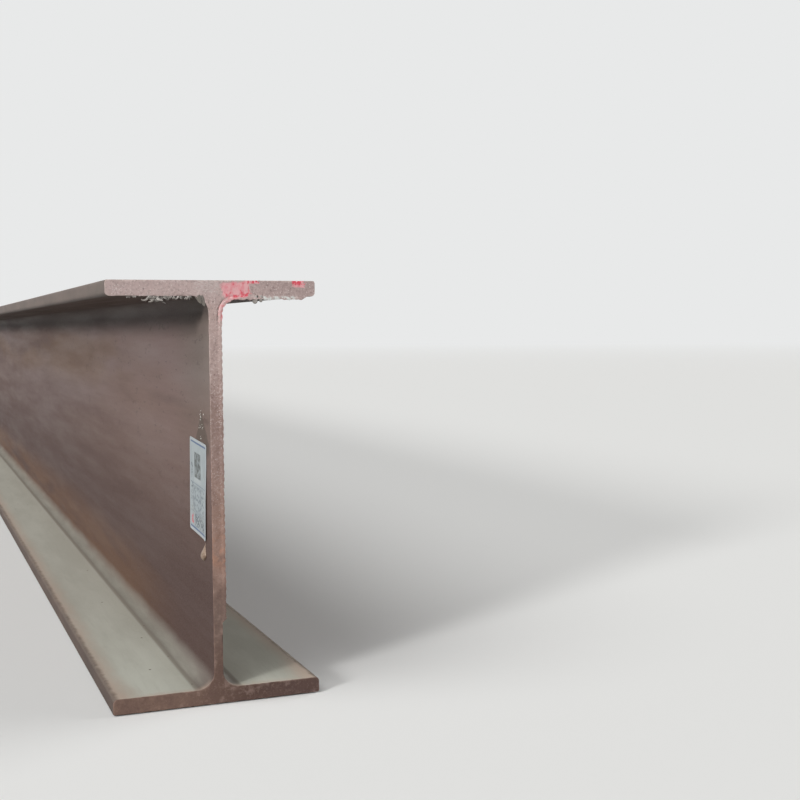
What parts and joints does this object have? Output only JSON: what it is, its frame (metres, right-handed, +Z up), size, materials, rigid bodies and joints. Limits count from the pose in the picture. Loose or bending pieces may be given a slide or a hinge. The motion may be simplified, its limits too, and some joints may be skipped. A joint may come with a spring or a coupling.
{
  "type": "steel h-beam",
  "caption": "Hot-rolled steel H-beam lying on its flange: parallel flanges on a web with root fillets, sawn ends with saw flash, and a paper label on the web.",
  "frame": {"origin": "middle of the length, on the underside of the bottom flange, below the middle of the web", "axes": "+X across the flanges, away from the labelled side of the web; +Y along the bar, away from the labelled end; +Z up the web"},
  "size_m": [0.201, 6, 0.404],
  "materials": {
    "mill_scale_steel": "dull mill scale with light rust and pale dust",
    "label_paper": "matte printed paper"
  },
  "bodies": {
    "root": {"h_beam": "mill_scale_steel", "web_label": "label_paper"}
  },
  "joints": []
}
